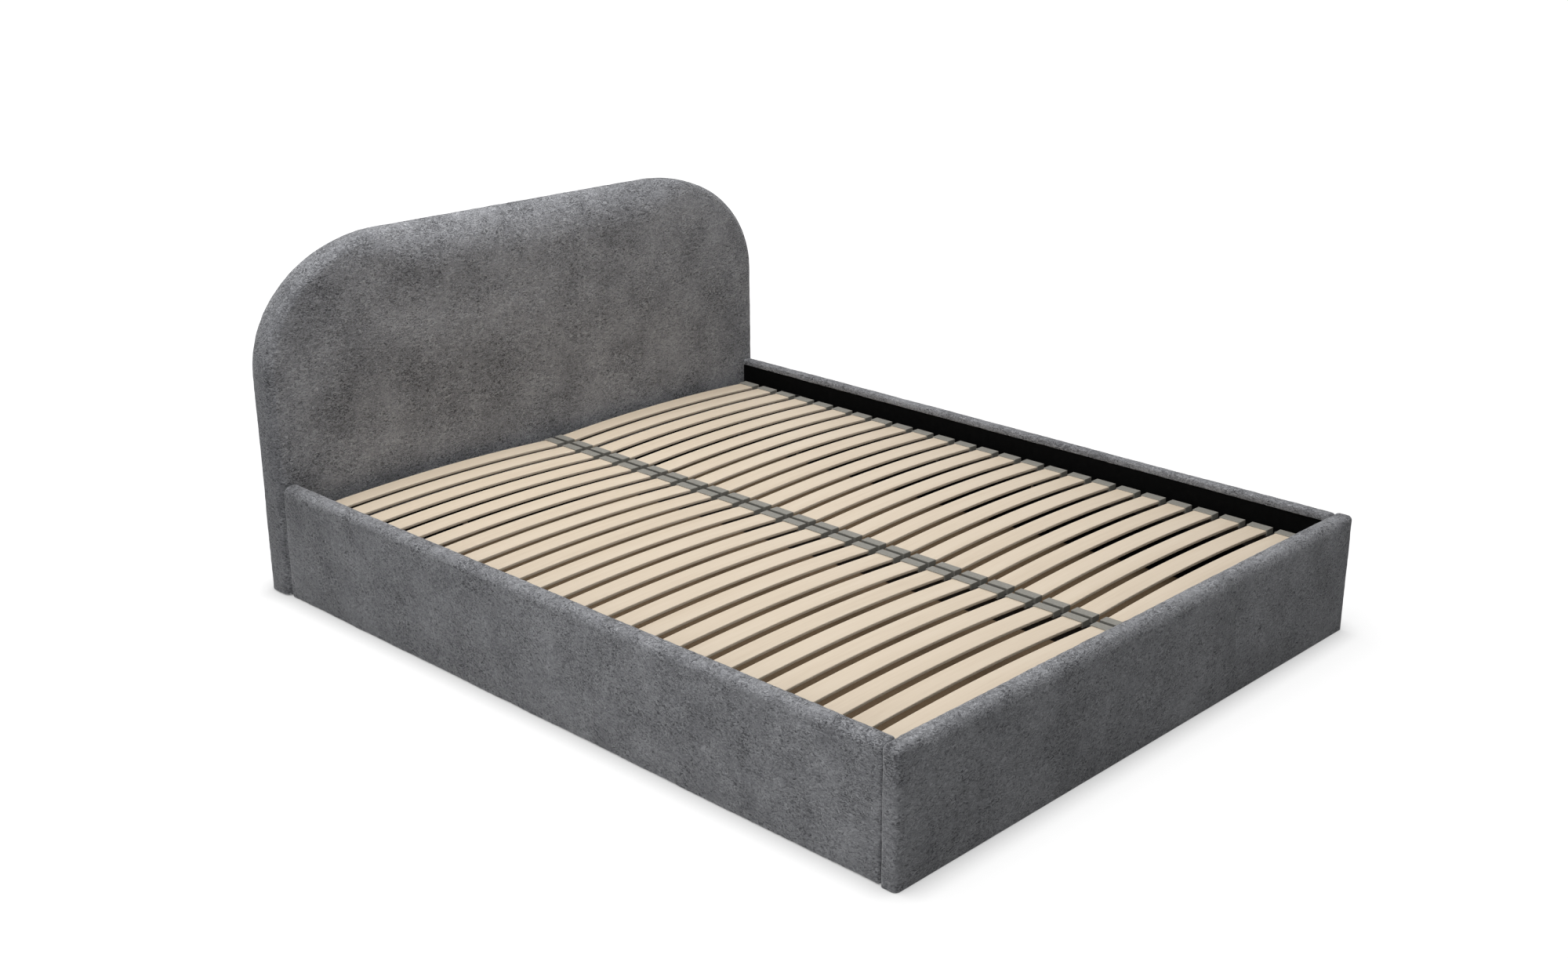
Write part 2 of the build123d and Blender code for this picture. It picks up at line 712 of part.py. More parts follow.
def strut_rod():
    """The gas strut's rod, with its upper eye and its piston."""
    foot = strut_closed - strut_rod_reach
    body = round_z(strut_rod_radius, 0, 0, foot, strut_closed - eye_neck) + strut_eye(strut_closed)
    body -= eye_hole(strut_closed)
    body += round_z(bore_radius - strut_slide_gap, 0, 0, foot, foot + strut_piston_length)
    return strut_line.location * body


# Write the nodes

os.makedirs("parts", exist_ok=True)

save("headboard_frame", headboard_frame() - bolt_room)
save("headboard_face_board", headboard_face_board)
save("headboard_foam", headboard_foam)
save("headboard_cover", headboard_cover)
save("headboard_back_cloth", back_window)
save("headboard_bolts", headboard_bolts)
save("head_wall_board", head_wall - wall_screw_room - [opposite(room) for room in wall_screw_room])

rail_room = rail_screw_room + plate_screw_room + side_ledge_room
foot_room = foot_screw_room + [opposite(room) for room in foot_screw_room] + foot_ledge_room
save_pair("rail_board", rail_board - rail_room)
save_pair("rail_cover", rail_cover())
save("foot_board", foot_board - foot_room)
save("foot_cover", foot_cover())

save_pair("bottom_batten", right_batten)
save("centre_bottom_batten", centre_batten)
save_pair("bottom_board", right_bottom_board)
save("floor_glides", floor_glides())
brackets = [front_bracket, rear_bracket]
save("corner_brackets", brackets + [opposite(bracket) for bracket in brackets])
save("corner_screws", corner_screws + [opposite(screw) for screw in corner_screws])
save_pair("rest_ledge", side_ledge - side_ledge_room)
save("foot_rest_ledge", foot_ledge - foot_ledge_room)
save("ledge_screws", ledge_screws)

save_pair("side_tube", side_tube())
save("head_cross_tube", head_cross_tube)
save("foot_cross_tube", foot_cross_tube)
save("centre_beam", centre_beam)
plugs = [end_plug(base_foot_y, -1), end_plug(base_head_y, 1)]
save("tube_end_plugs", plugs + [opposite(plug) for plug in plugs])
save("right_slats", along_bed(one_slat))
save("left_slats", along_bed(opposite(one_slat)))
save("right_outer_holders", along_bed(outer_holder))
save("left_outer_holders", along_bed(opposite(outer_holder)))
save("right_centre_holders", along_bed(centre_holder))
save("left_centre_holders", along_bed(opposite(centre_holder)))

save_pair("hinge_plate", hinge_plate)
save("hinge_plate_screws", hinge_plate_screws + [opposite(screw) for screw in hinge_plate_screws])
save_pair("pivot_bolt", pivot_bolt)
save("pivot_nuts", [pivot_nut, opposite(pivot_nut)])
save_pair("lift_arm", lift_arm)
arm_bolts = [arm_bolt(y) for y in arm_bolt_places]
arm_nuts = [arm_nut(y) for y in arm_bolt_places]
save("lift_arm_bolts", arm_bolts + [opposite(bolt) for bolt in arm_bolts])
save("lift_arm_nuts", arm_nuts + [opposite(nut) for nut in arm_nuts])
save("upper_strut_studs", [upper_stud, opposite(upper_stud)])
save("lower_strut_studs", [lower_stud, opposite(lower_stud)])
save_pair("strut_cylinder", strut_cylinder())
save_pair("strut_rod", strut_rod())
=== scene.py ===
import json
import math

import bpy
import numpy as np
from mathutils import Matrix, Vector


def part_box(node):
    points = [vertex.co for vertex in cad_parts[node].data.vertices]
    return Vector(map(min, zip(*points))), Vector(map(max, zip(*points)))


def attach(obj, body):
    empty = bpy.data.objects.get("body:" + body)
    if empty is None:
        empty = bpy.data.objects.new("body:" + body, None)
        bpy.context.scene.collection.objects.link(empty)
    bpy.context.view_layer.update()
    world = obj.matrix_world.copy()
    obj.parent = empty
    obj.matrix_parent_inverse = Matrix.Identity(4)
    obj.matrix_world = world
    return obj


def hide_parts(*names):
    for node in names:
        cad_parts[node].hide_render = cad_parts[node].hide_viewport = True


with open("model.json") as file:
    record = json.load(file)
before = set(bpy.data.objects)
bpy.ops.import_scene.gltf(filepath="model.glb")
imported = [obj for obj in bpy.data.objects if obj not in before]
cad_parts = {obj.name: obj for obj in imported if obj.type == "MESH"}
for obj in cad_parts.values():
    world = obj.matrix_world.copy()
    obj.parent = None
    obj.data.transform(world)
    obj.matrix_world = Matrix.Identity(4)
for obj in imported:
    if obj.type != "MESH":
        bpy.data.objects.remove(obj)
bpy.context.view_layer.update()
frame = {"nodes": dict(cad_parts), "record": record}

# An upholstered bed with a slatted base. Metres, in the frame of the solids: +Y to the headboard, +Z up.

# Camera, fitted to the bed's straight edges in the photograph
CAMERA_PLACE = (-3.18987, -3.05055, 1.90396)
CAMERA_HEADING = 46.036
CAMERA_DIP = 19.447
CAMERA_ROLL = -0.077
LENS_MM = 43.351
SENSOR_MM = 36.0
VIEW_REACH = 200.0

# Light: each lamp's name, place, aim, size, power in watts and spread in degrees
LAMPS = (
    ("top_lamp", (-0.6, 0.3, 4.2), (-0.2, 0.2, 0.3), 4.0, 164.0, 180.0),
    ("left_lamp", (-4.0, -1.3, 1.3), (-0.85, -0.7, 0.15), 1.6, 4.2, 70.0),
    ("head_lamp", (-0.15, 1.0, 2.6), (-0.15, 1.02, 0.9), 0.8, 1.0, 52.0),
)
WORLD_LIGHT = 0.26

# Floor: its half size and colour, how far it is lifted to white near the bed and far off, and how deep and how
# far from the bed a painted contact shadow cuts that lift
FLOOR_HALF = 30.0
FLOOR_COLOUR = 0.36
FLOOR_LIFT = 0.77
FLOOR_NEAR = 2.0
FLOOR_FAR = 4.5
FLOOR_PAINTED_SHADE = 0.70
FLOOR_PAINTED_SHADE_REACH = 0.062

# Padding: roundings, crowns and the step of the cloth's mesh
HEAD_CORNER_WIDTH = 0.386
HEAD_CORNER_HEIGHT = 0.320
HEAD_EDGE = 0.024
HEAD_SIDE_ROUND = (0.025, 0.027)
HEAD_TOP_ROUND = (0.064, 0.115)
HEAD_TOP_FADE = (0.36, 0.62)
HEAD_REAR_ROUND = 0.032
HEAD_CROWN = 0.011
HEAD_CROWN_LOW = 0.25
HEAD_CROWN_FADE = (0.34, 0.62)
HEAD_SEAM_DEPTH = 0.0022
HEAD_SEAM_WIDTH = 0.0034
HEAD_SEAM_TURN = 0.65
HEAD_BAND_CROWN = 0.0012
HEAD_BACK_SET = 0.0015
HEAD_BACK_MARGIN = 0.048
HEAD_TURN_POINTS = 21
HEAD_BAND_POINTS = 15
HEAD_REAR_POINTS = 9
HEAD_MARGIN_POINTS = 3
FOOT_CORNER = 0.0125
FOOT_EDGE = 0.0115
FOOT_SIDE_ROUND = (0.0115, 0.0115)
FOOT_TOP_ROUND = (0.020, 0.025)
FOOT_TOP_FADE = (0.090, 0.012)
FOOT_INNER_ROUND = 0.009
FOOT_CROWN = 0.003
FOOT_END_PAD = 0.012
FOOT_TURN_POINTS = 9
FOOT_BAND_POINTS = 7
FOOT_INNER_POINTS = 5
FOOT_HEM_SHARES = (0.35, 0.7, 0.95)
FOOT_HEM_CLEAR = 0.0002
FOOT_LIP_CLEAR = 0.002
FOOT_LIP_FADE = 0.006
FOOT_LIP_UP = 0.99
RAIL_TOP_ROUND = 0.021
RAIL_INNER_ROUND = 0.007
RAIL_BOTTOM_ROUND = 0.003
RAIL_CROWN = 0.003
RAIL_END_ROUND = 0.0070
RAIL_END_GAP = 0.0006
RAIL_END_SHARES = (0.08, 0.3)
RAIL_BOTTOM_POINTS = 4
RAIL_TOP_POINTS = 7
RAIL_FLAT_POINTS = 6
RAIL_HOOK_POINTS = 6
RAIL_LIP_POINTS = 4
TOP_PAD = 0.008
PANEL_HANG = 0.0015
LIP_DEPTH = 0.017
HEAD_STEP = 0.0053
PANEL_STEP = 0.0045

# Cloth solver: an open sheet held along its edge and blown up
BLOW_PRESSURE = 2.5
BLOW_FRAMES = 20
HEAD_SHEET_STEP = 0.030
PANEL_SHEET_STEP = 0.020
SHEET_SLACK = 0.0020
SHEET_SLACK_SIZE = 0.110

# Dust cloth on the headboard's back
CLOTH_STEP = 0.012
CLOTH_LIFT = 0.0034
CLOTH_SLACK = 0.0013
CLOTH_SLACK_SIZE = 0.22
CLOTH_SLACK_REACH = 0.08
CLOTH_TUCK = 0.0008
CLOTH_HEM = 0.012

# Slats, two banks
SLATS_PER_BANK = 25
SLAT_WIDTH = 0.053
SLAT_THICK = 0.008
SLAT_EDGE = 0.0018
SLAT_EDGE_POINTS = 5
SLAT_STATIONS = 33

# Plush: its noises per metre, how the pile stands out, and its colours
PLUSH_PATCHES = 7.0
PLUSH_STANDS = 15.0
PLUSH_CURLS = 160.0
PLUSH_CURL_STRETCH = (0.70, 0.70, 1.30)
PLUSH_STAND_RANGE = 2.2
PLUSH_STAND_LEAST = 0.2
PLUSH_CONTRAST = 1.8
PLUSH_STOPS = ((0.0, (0.074, 0.075, 0.081)), (0.50, (0.254, 0.258, 0.273)), (1.0, (0.450, 0.455, 0.478)))
PLUSH_SHEEN = (0.90, 0.90, 0.92, 1.0)

# Slat wood: its noises per metre along X, Y and Z, the weights of the face's three, and its colours, the side
# faces' painted paler as a highlight
SLAT_GRAIN = (3.5, 96.0, 96.0)
SLAT_FINE_GRAIN = (6.0, 320.0, 320.0)
SLAT_TINT = (0.4, 13.0, 13.0)
SLAT_LAYERS = (4.0, 40.0, 600.0)
SLAT_GRAIN_SHARE = 0.5
SLAT_FINE_SHARE = 0.25
SLAT_TINT_SHARE = 0.25
SLAT_FACE_STOPS = ((0.28, (0.625, 0.516, 0.391)), (0.50, (0.690, 0.583, 0.453)), (0.72, (0.731, 0.630, 0.502)))
# Side faces' colours: paler than the top's, a painted highlight lifting their shade; the layering is the ply's
# own.
SLAT_SIDE_PAINTED_LIGHT_STOPS = ((0.35, (0.800, 0.690, 0.550)), (0.65, (0.880, 0.780, 0.640)))
SLAT_PAINTED_SIDE_FACING = 0.75

# Unevenness of the padded cloth: (size of a bump, height), from the slackest to the nap
CLOTH_SWELLS = ((0.300, 0.0010), (0.085, 0.0006), (0.026, 0.0004), (0.0115, 0.0004))
LATTICE = 40
TINY = 1e-9
SAME_PLACE = 1e-6

# Seeds of the cloth's unevenness, of the sheets' slack and of the dust cloth's slack
HEAD_SWELL_SEED = 11
FOOT_SWELL_SEED = 21
LEFT_SWELL_SEED = 31
RIGHT_SWELL_SEED = 41
HEAD_SHEET_SEED = 71
FOOT_SHEET_SEED = 72
LEFT_SHEET_SEED = 73
RIGHT_SHEET_SEED = 74
CLOTH_SLACK_SEED = 101


# Meshes

def smooth(t):
    """An S-curve from 0 to 1 with flat ends: 3t^2 - 2t^3."""
    t = np.clip(t, 0.0, 1.0)
    return t * t * (3.0 - 2.0 * t)


def lattice_noise(points, size, seed):
    """Seeded values on a cube lattice of the given size, blended between its corners by the S-curve."""
    values = np.random.default_rng(seed).uniform(-1.0, 1.0, (LATTICE, LATTICE, LATTICE))
    cell = np.floor(points / size).astype(int)
    part = smooth(points / size - cell)
    total = np.zeros(len(points))
    for corner in range(8):
        bit = np.array([(corner >> axis) & 1 for axis in range(3)])
        weight = np.prod(np.where(bit, part, 1.0 - part), axis=1)
        place = (cell + bit) % LATTICE
        total += weight * values[place[:, 0], place[:, 1], place[:, 2]]
    return total


def grid_quads(rows, columns):
    """Quads of a grid of points numbered row by row."""
    start = np.arange(rows - 1)[:, None] * columns + np.arange(columns - 1)[None, :]
    return np.stack([start, start + 1, start + columns + 1, start + columns], -1).reshape(-1, 4)


def quads_between(one, other):
    """Quads of the strip between two equal rows of point numbers."""
    return np.stack([one[:-1], one[1:], other[1:], other[:-1]], -1)


def new_piece(name, points, faces):
    """A smooth-shaded mesh object at the origin, with its place in its points."""
    mesh = bpy.data.meshes.new(name)
    mesh.from_pydata(points.tolist(), [], faces)
    mesh.shade_smooth()
    piece = bpy.data.objects.new(name, mesh)
    bpy.context.scene.collection.objects.link(piece)
    return piece


def swell_cloth(piece, seed):
    """Each point moves along its normal by the sum of the lattice noises in CLOTH_SWELLS."""
    mesh = piece.data
    points = np.empty(len(mesh.vertices) * 3)
    mesh.vertices.foreach_get("co", points)
    normals = np.empty_like(points)
    mesh.vertex_normals.foreach_get("vector", normals)
    points = points.reshape(-1, 3)
    normals = normals.reshape(-1, 3)
    push = np.zeros(len(points))
    for index, (size, height) in enumerate(CLOTH_SWELLS):
        push += height * lattice_noise(points, size, seed + index)
    mesh.vertices.foreach_set("co", (points + normals * push[:, None]).ravel())
    mesh.update()


def steps(length, step):
    """How many points a stretch takes at about that step."""
    return max(2, int(round(length / step)) + 1)


def panel_rim(half, top, bottom, corner, step):
    """Points and outward directions on a panel's rim: up its left side, round a quarter ellipse, over its top.

    The corner is the ellipse's width and height. The right side mirrors the left, so it isn't given.
    """
    wide, tall = corner
    side_z = np.linspace(bottom, top - tall, steps(top - tall - bottom, step))
    turn = np.linspace(0.0, math.pi / 2, steps((wide + tall) * math.pi / 4, step))[1:]
    left_x = np.concatenate([np.full(len(side_z), -half), wide - half - wide * np.cos(turn)])
    left_z = np.concatenate([side_z, top - tall + tall * np.sin(turn)])
    slope_x = np.concatenate([np.full(len(side_z), -1.0), -np.cos(turn) / wide])
    slope_z = np.concatenate([np.zeros(len(side_z)), np.sin(turn) / tall])
    length = np.hypot(slope_x, slope_z)
    top_x = np.linspace(wide - half, half - wide, steps(2 * half, step))
    return left_x, left_z, slope_x / length, slope_z / length, top_x


def padded_panel(name, face, half, top, bottom, corner, step, sheet_step, seed, inset, depth, crown):
    """A padded upright panel, closed all round.

    Its front is a grid of rows across the panel, each as long as the rim leaves at its height. From the
    front's edge a profile of insets and depths, one column per rim point, is carried round the rim. The back
    and the bottom are closed by one flat face each. inset and depth are functions of the rim points' x and of
    how far the rim faces up there, and give arrays of profile steps by rim points. crown is a function of the
    front's points, of their distances to the side and to the top of the rim, and of the solver's swell there,
    and gives how far each point stands forward.
    """
    left_x, left_z, out_x, out_z, top_x = panel_rim(half, top, bottom, corner, step)
    rows = len(left_x)
    columns = len(top_x)
    middle = columns - 2
    rim_x = np.concatenate([left_x, top_x[1:-1], -left_x[::-1]])
    rim_z = np.concatenate([left_z, np.full(middle, top), left_z[::-1]])
    dir_x = np.concatenate([out_x, np.zeros(middle), -out_x[::-1]])
    dir_z = np.concatenate([out_z, np.ones(middle), out_z[::-1]])
    insets = inset(rim_x, dir_z)
    depths = depth(rim_x, dir_z)
    band = np.stack([rim_x - dir_x * insets, depths, rim_z - dir_z * insets], -1)

    edge_x = band[0, :rows, 0]
    edge_z = band[0, :rows, 2]
    across = np.linspace(-1.0, 1.0, columns)
    front = np.empty((rows, columns, 3))
    front[..., 0] = -edge_x[:, None] * across
    front[..., 2] = edge_z[:, None]
    to_side = -edge_x[:, None] * (1.0 - np.abs(across))
    curved = edge_x > edge_x[0] + SAME_PLACE
    to_top = np.interp(np.abs(front[..., 0]), -edge_x[curved][::-1], edge_z[curved][::-1]) - edge_z[:, None]
    to_top = np.maximum(to_top, 0.0)
    swell = blown_cloth(edge_z, -edge_x, across, sheet_step, seed)
    front[..., 1] = face - crown(front, to_side, to_top, swell)

    numbers = np.arange(rows * columns).reshape(rows, columns)
    ring = np.concatenate([numbers[:, 0], numbers[-1, 1:-1], numbers[::-1, -1]])
    outer = rows * columns + np.arange((len(insets) - 1) * len(rim_x)).reshape(-1, len(rim_x))
    rings = np.vstack([ring[None, :], outer])
    points = np.concatenate([front.reshape(-1, 3), band[1:].reshape(-1, 3)])
    faces = grid_quads(rows, columns).tolist()
    for one, other in zip(rings[:-1], rings[1:]):
        faces += quads_between(one, other).tolist()
    faces.append(rings[-1].tolist())
    faces.append(np.concatenate([rings[:, -1], rings[::-1, 0], numbers[0, 1:-1]]).tolist())
    return new_piece(name, points, faces)


def arc(start, end, count):
    """Angles from start to end in degrees, as radians."""
    return np.radians(np.linspace(start, end, count))


# Cloth

def carried_on(knots, values, places):
    """Values at rows of knots carried on to places, by cubic pieces with the neighbours' mean slopes."""
    slope = np.gradient(values, knots, axis=0)
    index = np.clip(np.searchsorted(knots, places, side="right") - 1, 0, len(knots) - 2)
    width = (knots[index + 1] - knots[index])[:, None]
    t = (places - knots[index])[:, None] / width
    to_next = t * t * (3.0 - 2.0 * t)
    leave = t * (1.0 - t) ** 2
    arrive = t * t * (t - 1.0)
    start, end = values[index], values[index + 1]
    return start + (end - start) * to_next + width * (leave * slope[index] + arrive * slope[index + 1])


def solve_cloth(sheet):
    """The sheet's points after Blender's cloth solver has blown it up, its edge held and gravity off."""
    rows, columns = sheet.shape[:2]
    piece = new_piece("blown_sheet", sheet.reshape(-1, 3), grid_quads(rows, columns).tolist())
    numbers = np.arange(rows * columns).reshape(rows, columns)
    edge = np.concatenate([numbers[0], numbers[-1], numbers[1:-1, 0], numbers[1:-1, -1]])
    piece.vertex_groups.new(name="held").add(edge.tolist(), 1.0, "REPLACE")
    solver = piece.modifiers.new("cloth", "CLOTH")
    solver.settings.vertex_group_mass = "held"
    solver.settings.use_pressure = True
    solver.settings.uniform_pressure_force = BLOW_PRESSURE
    solver.settings.effector_weights.gravity = 0.0
    solver.collision_settings.use_collision = False
    solver.point_cache.frame_start = 1
    solver.point_cache.frame_end = BLOW_FRAMES
    scene = bpy.context.scene
    for number in range(1, BLOW_FRAMES + 1):
        scene.frame_set(number)
    solved = piece.evaluated_get(bpy.context.evaluated_depsgraph_get())
    points = np.empty(rows * columns * 3)
    solved.data.vertices.foreach_get("co", points)
    mesh = piece.data
    bpy.data.objects.remove(piece)
    bpy.data.meshes.remove(mesh)
    scene.frame_set(1)
    return points.reshape(rows, columns, 3)


def blown_cloth(row_z, row_half, across, step, seed):
    """How far a held cloth swells, on a fine grid of rows and places across from -1 to 1.

    A coarse sheet in the XZ plane, as wide at each height as the rows are, starts a little slack and is blown
    up towards -Y by the solver. Its swell is then carried on to the fine grid.
    """
    heights = np.linspace(row_z[0], row_z[-1], steps(row_z[-1] - row_z[0], step))
    halves = np.interp(heights, row_z, row_half)[:, None]
    share = np.linspace(-1.0, 1.0, steps(2 * row_half.max(), step))
    sheet = np.zeros((len(heights), len(share), 3))
    sheet[..., 0] = halves * share
    sheet[..., 2] = heights[:, None]
    to_edge = np.minimum(heights - heights[0], heights[-1] - heights)[:, None]
    to_edge = np.minimum(to_edge, halves * (1.0 - np.abs(share)))
    slack = lattice_noise(sheet.reshape(-1, 3), SHEET_SLACK_SIZE, seed).reshape(to_edge.shape)
    sheet[..., 1] = SHEET_SLACK * slack * smooth(to_edge / SHEET_SLACK_SIZE)
    swell = -solve_cloth(sheet)[..., 1]
    return carried_on(share, carried_on(heights, swell, row_z).T, across).T


def capped(swell, most):
    """A swell that the foam stops at most: most (1 - exp(-swell / most))."""
    return most * (1.0 - np.exp(-np.maximum(swell, 0.0) / most))


# Upholstery

def head_fullness(z):
    """The share of the headboard's crown at a height: full above, and sinking towards the slats."""
    low, high = HEAD_CROWN_FADE
    return HEAD_CROWN_LOW + (1.0 - HEAD_CROWN_LOW) * smooth((z - low) / (high - low))


def roll_back(x, inset, side_round, top_round, fade):
    """How far a panel's front lies back at an inset from the rim: a quarter ellipse in depth and inset.

    Its half-axes, deep and tall, go from top_round over the middle to side_round at the sides. They change
    between the two distances from the middle in fade. The depth is deep (1 - root(1 - (1 - inset / tall)^2)).
    """
    near, far = fade
    share = smooth((far - np.abs(x)) / (far - near))
    deep, tall = [side + (top - side) * share for side, top in zip(side_round, top_round)]
    return deep * (1.0 - np.sqrt(1.0 - np.clip(1.0 - inset / tall, 0.0, 1.0) ** 2))


def head_roll(x, inset):
    """The headboard's roll."""
    return roll_back(x, inset, HEAD_SIDE_ROUND, HEAD_TOP_ROUND, HEAD_TOP_FADE)


def foot_roll(x, inset):
    """The foot panel's roll, which fades out near its ends."""
    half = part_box("foot_cover")[1][0]
    fade = (half - FOOT_TOP_FADE[0], half - FOOT_TOP_FADE[1])
    return roll_back(x, inset, FOOT_SIDE_ROUND, FOOT_TOP_ROUND, fade)


def head_crown(front, to_side, to_top, swell):
    """The headboard's capped swell less its roll, which goes by the distance to the rim.

    The distance is side times top over the root of their squares' sum.
    """
    to_rim = to_side * to_top / np.maximum(np.hypot(to_side, to_top), TINY)
    crown = capped(swell, HEAD_CROWN * head_fullness(front[..., 2]))
    return crown - head_roll(front[..., 0], HEAD_EDGE + to_rim)


def foot_crown(front, to_side, to_top, swell):
    """The foot panel's slight swell less its roll along the top."""
    return capped(swell, FOOT_CROWN) - foot_roll(front[..., 0], FOOT_EDGE + to_top)


def headboard_padding():
    """The headboard: a crowned front panel sewn to a band along its edge, and a wide round at the rear.

    The band's first points carry the front's roll on to the rim. The seam is a groove of Gaussian section
    pressed into that roll along its normal, and it fades out towards the top.
    """
    low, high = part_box("headboard_cover")
    front = low[1]
    rear = high[1] - HEAD_BACK_SET
    turn = arc(0, 90, HEAD_TURN_POINTS)[:, None]
    back = arc(0, 90, HEAD_REAR_POINTS)[:, None]
    share = np.linspace(0.0, 1.0, HEAD_BAND_POINTS)[1:-1, None]
    margin = np.linspace(HEAD_REAR_ROUND, HEAD_BACK_MARGIN, HEAD_MARGIN_POINTS)[1:, None]
    seam = HEAD_SEAM_DEPTH * np.exp(-(HEAD_EDGE * (turn - HEAD_SEAM_TURN) / HEAD_SEAM_WIDTH) ** 2)

    def depths(rim, up):
        roll = front + head_roll(rim, HEAD_EDGE * (1 - np.sin(turn)))
        side = roll[-1]
        return np.concatenate([
            roll + seam * np.cos(turn) * (1 - up ** 2), side + (rear - HEAD_REAR_ROUND - side) * share,
            rear - HEAD_REAR_ROUND * (1 - np.sin(back)) + 0 * rim, rear + 0 * margin + 0 * rim,
        ])

    def insets(rim, up):
        return np.concatenate([
            HEAD_EDGE * (1 - np.sin(turn)) + seam * np.sin(turn) * (1 - up ** 2),
            -HEAD_BAND_CROWN * np.sin(math.pi * share) + 0 * rim,
            HEAD_REAR_ROUND * (1 - np.cos(back)) + 0 * rim, margin + 0 * rim,
        ])

    return padded_panel(
        "headboard_padding", front, high[0], high[2], low[2], (HEAD_CORNER_WIDTH, HEAD_CORNER_HEIGHT),
        HEAD_STEP, HEAD_SHEET_STEP, HEAD_SHEET_SEED, insets, depths, head_crown,
    )


def foot_padding():
    """The foot panel: a padded slab round its board, turned in over the board between the rails."""
    low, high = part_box("foot_cover")
    board_low, board_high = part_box("foot_board")
    rail_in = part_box("right_rail_cover")[0][0]
    front = low[1]
    inner = board_high[1]
    lip = high[1] - inner
    turn = arc(0, 90, FOOT_TURN_POINTS)
    back = arc(0, 90, FOOT_INNER_POINTS)
    share = np.linspace(0.0, 1.0, FOOT_BAND_POINTS)[1:-1]

    def between_rails(rim, up):
        return smooth((rail_in - FOOT_LIP_CLEAR - np.abs(rim)) / FOOT_LIP_FADE) * (up > FOOT_LIP_UP)

    def insets(rim, up):
        inside = between_rails(rim, up)
        one = np.ones_like(rim)
        wall = TOP_PAD * up ** 2 + FOOT_END_PAD * (1 - up ** 2)
        hem = wall + (LIP_DEPTH - TOP_PAD) * inside
        rows = [FOOT_EDGE * (1 - math.sin(a)) * one for a in turn]
        rows += [0.0 * one for _ in share]
        rows += [FOOT_INNER_ROUND * (1 - math.cos(a)) * one for a in back]
        rows += [FOOT_INNER_ROUND + (hem - FOOT_INNER_ROUND) * t for t in FOOT_HEM_SHARES]
        rows += [hem, wall, wall]
        return np.array(rows)

    def depths(rim, up):
        face = inner + lip * between_rails(rim, up)
        one = np.ones_like(rim)
        rows = [front + foot_roll(rim, FOOT_EDGE * (1 - math.sin(a))) for a in turn]
        side = rows[-1]
        rows += [side + (inner - FOOT_INNER_ROUND - side) * part for part in share]
        rows += [face - FOOT_INNER_ROUND * (1 - math.sin(a)) for a in back]
        rows += [face for _ in FOOT_HEM_SHARES]
        rows += [(inner + FOOT_HEM_CLEAR) * one, (inner + FOOT_HEM_CLEAR / 2) * one, board_low[1] * one]
        return np.array(rows)

    return padded_panel(
        "foot_padding", front, high[0], high[2], PANEL_HANG, (FOOT_CORNER, FOOT_CORNER),
        PANEL_STEP, PANEL_SHEET_STEP, FOOT_SHEET_SEED, insets, depths, foot_crown,
    )


